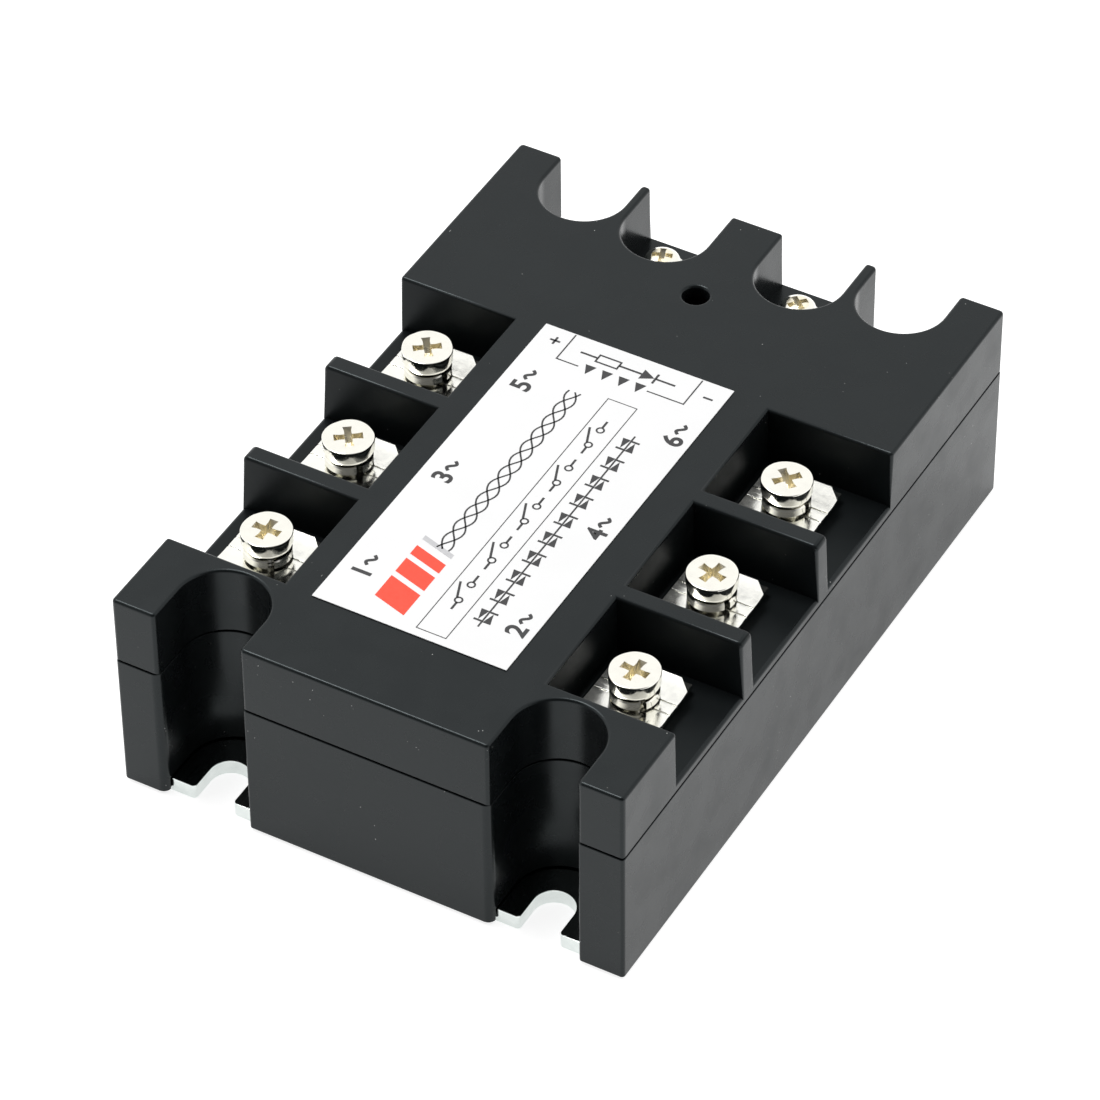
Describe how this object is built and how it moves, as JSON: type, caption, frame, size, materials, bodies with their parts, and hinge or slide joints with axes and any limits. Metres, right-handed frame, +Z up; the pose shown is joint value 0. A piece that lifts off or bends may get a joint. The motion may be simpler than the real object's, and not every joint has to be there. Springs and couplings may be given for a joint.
{
  "type": "solid state relay",
  "caption": "Flat black three-phase solid state relay with a metal base plate, open screw terminal bays along both sides, input terminals at one end and a printed label.",
  "frame": {"origin": "middle of the base plate's underside, which is the face that is bolted down", "axes": "+X to the right across the width, towards the even-numbered terminals; +Y along the length, towards the two input terminals; +Z up, out of the label"},
  "size_m": [0.074, 0.105, 0.0323],
  "materials": {
    "black_plastic": "fine moulded texture, dark slate grey, slightly glossy along the edges",
    "zinc_plate": "bright zinc plating with faint rolling marks",
    "nickel": "bright nickel plating, slightly warm",
    "ceramic": "white alumina, matt",
    "silicon": "dark grey, smooth",
    "potting_resin": "black cast resin",
    "board_green": "green solder mask over glass laminate",
    "driver_plastic": "white moulded package",
    "resistor_body": "tan lacquer with coloured bands",
    "red_lens": "translucent red, unlit",
    "label_paper": "white satin sticker with black line print"
  },
  "bodies": {
    "housing": {"base_plate": "zinc_plate", "lower_case": "black_plastic", "top_cover": "black_plastic", "label": "label_paper", "potting": "potting_resin", "control_board": "board_green", "indicator_led": "red_lens", "substrate_1": "ceramic", "substrate_2": "ceramic", "substrate_3": "ceramic", "thyristor_1": "silicon", "thyristor_2": "silicon", "thyristor_3": "silicon", "thyristor_4": "silicon", "thyristor_5": "silicon", "thyristor_6": "silicon", "driver_1": "driver_plastic", "driver_2": "driver_plastic", "driver_3": "driver_plastic", "gate_resistor_1": "resistor_body", "gate_resistor_2": "resistor_body", "gate_resistor_3": "resistor_body", "power_terminal_1": "nickel", "power_terminal_2": "nickel", "power_terminal_3": "nickel", "power_terminal_4": "nickel", "power_terminal_5": "nickel", "power_terminal_6": "nickel", "terminal_nut_1": "zinc_plate", "terminal_nut_2": "zinc_plate", "terminal_nut_3": "zinc_plate", "terminal_nut_4": "zinc_plate", "terminal_nut_5": "zinc_plate", "terminal_nut_6": "zinc_plate", "input_terminal_1": "nickel", "input_terminal_2": "nickel"},
    "power_washers_1": {"lock_washer_1": "nickel", "square_washer_1": "nickel"},
    "power_screw_1": {"power_screw_1": "nickel"},
    "power_washers_2": {"lock_washer_2": "nickel", "square_washer_2": "nickel"},
    "power_screw_2": {"power_screw_2": "nickel"},
    "power_washers_3": {"lock_washer_3": "nickel", "square_washer_3": "nickel"},
    "power_screw_3": {"power_screw_3": "nickel"},
    "power_washers_4": {"lock_washer_4": "nickel", "square_washer_4": "nickel"},
    "power_screw_4": {"power_screw_4": "nickel"},
    "power_washers_5": {"lock_washer_5": "nickel", "square_washer_5": "nickel"},
    "power_screw_5": {"power_screw_5": "nickel"},
    "power_washers_6": {"lock_washer_6": "nickel", "square_washer_6": "nickel"},
    "power_screw_6": {"power_screw_6": "nickel"},
    "input_washer_1": {"input_washer_1": "nickel"},
    "input_screw_1": {"input_screw_1": "nickel"},
    "input_washer_2": {"input_washer_2": "nickel"},
    "input_screw_2": {"input_screw_2": "nickel"}
  },
  "joints": [
    {"name": "power_lift_1", "type": "slide", "parent": "housing", "child": "power_washers_1", "axis": [0, 0, 1], "range_m": [0, 0.0035]},
    {"name": "power_turn_1", "type": "hinge", "parent": "power_washers_1", "child": "power_screw_1", "pos_m": [-0.0281, -0.02947, 0.02685], "axis": [0, 0, 1], "range_deg": [0, 1800]},
    {"name": "power_lift_2", "type": "slide", "parent": "housing", "child": "power_washers_2", "axis": [0, 0, 1], "range_m": [0, 0.0035]},
    {"name": "power_turn_2", "type": "hinge", "parent": "power_washers_2", "child": "power_screw_2", "pos_m": [0.0259, -0.02947, 0.02685], "axis": [0, 0, 1], "range_deg": [0, 1800]},
    {"name": "power_lift_3", "type": "slide", "parent": "housing", "child": "power_washers_3", "axis": [0, 0, 1], "range_m": [0, 0.0035]},
    {"name": "power_turn_3", "type": "hinge", "parent": "power_washers_3", "child": "power_screw_3", "pos_m": [-0.0281, -0.009, 0.02685], "axis": [0, 0, 1], "range_deg": [0, 1800]},
    {"name": "power_lift_4", "type": "slide", "parent": "housing", "child": "power_washers_4", "axis": [0, 0, 1], "range_m": [0, 0.0035]},
    {"name": "power_turn_4", "type": "hinge", "parent": "power_washers_4", "child": "power_screw_4", "pos_m": [0.0259, -0.009, 0.02685], "axis": [0, 0, 1], "range_deg": [0, 1800]},
    {"name": "power_lift_5", "type": "slide", "parent": "housing", "child": "power_washers_5", "axis": [0, 0, 1], "range_m": [0, 0.0035]},
    {"name": "power_turn_5", "type": "hinge", "parent": "power_washers_5", "child": "power_screw_5", "pos_m": [-0.0281, 0.01147, 0.02685], "axis": [0, 0, 1], "range_deg": [0, 1800]},
    {"name": "power_lift_6", "type": "slide", "parent": "housing", "child": "power_washers_6", "axis": [0, 0, 1], "range_m": [0, 0.0035]},
    {"name": "power_turn_6", "type": "hinge", "parent": "power_washers_6", "child": "power_screw_6", "pos_m": [0.0259, 0.01147, 0.02685], "axis": [0, 0, 1], "range_deg": [0, 1800]},
    {"name": "input_lift_1", "type": "slide", "parent": "housing", "child": "input_washer_1", "axis": [0, 0, 1], "range_m": [0, 0.002]},
    {"name": "input_turn_1", "type": "hinge", "parent": "input_washer_1", "child": "input_screw_1", "pos_m": [-0.0112, 0.0457, 0.0253], "axis": [0, 0, 1], "range_deg": [0, 1440]},
    {"name": "input_lift_2", "type": "slide", "parent": "housing", "child": "input_washer_2", "axis": [0, 0, 1], "range_m": [0, 0.002]},
    {"name": "input_turn_2", "type": "hinge", "parent": "input_washer_2", "child": "input_screw_2", "pos_m": [0.0096, 0.0457, 0.0253], "axis": [0, 0, 1], "range_deg": [0, 1440]}
  ],
  "couplings": [
    {"joint": "power_turn_1", "follows": "power_lift_1", "rad_per_m": 8976},
    {"joint": "power_turn_2", "follows": "power_lift_2", "rad_per_m": 8976},
    {"joint": "power_turn_3", "follows": "power_lift_3", "rad_per_m": 8976},
    {"joint": "power_turn_4", "follows": "power_lift_4", "rad_per_m": 8976},
    {"joint": "power_turn_5", "follows": "power_lift_5", "rad_per_m": 8976},
    {"joint": "power_turn_6", "follows": "power_lift_6", "rad_per_m": 8976},
    {"joint": "input_turn_1", "follows": "input_lift_1", "rad_per_m": 12566},
    {"joint": "input_turn_2", "follows": "input_lift_2", "rad_per_m": 12566}
  ]
}
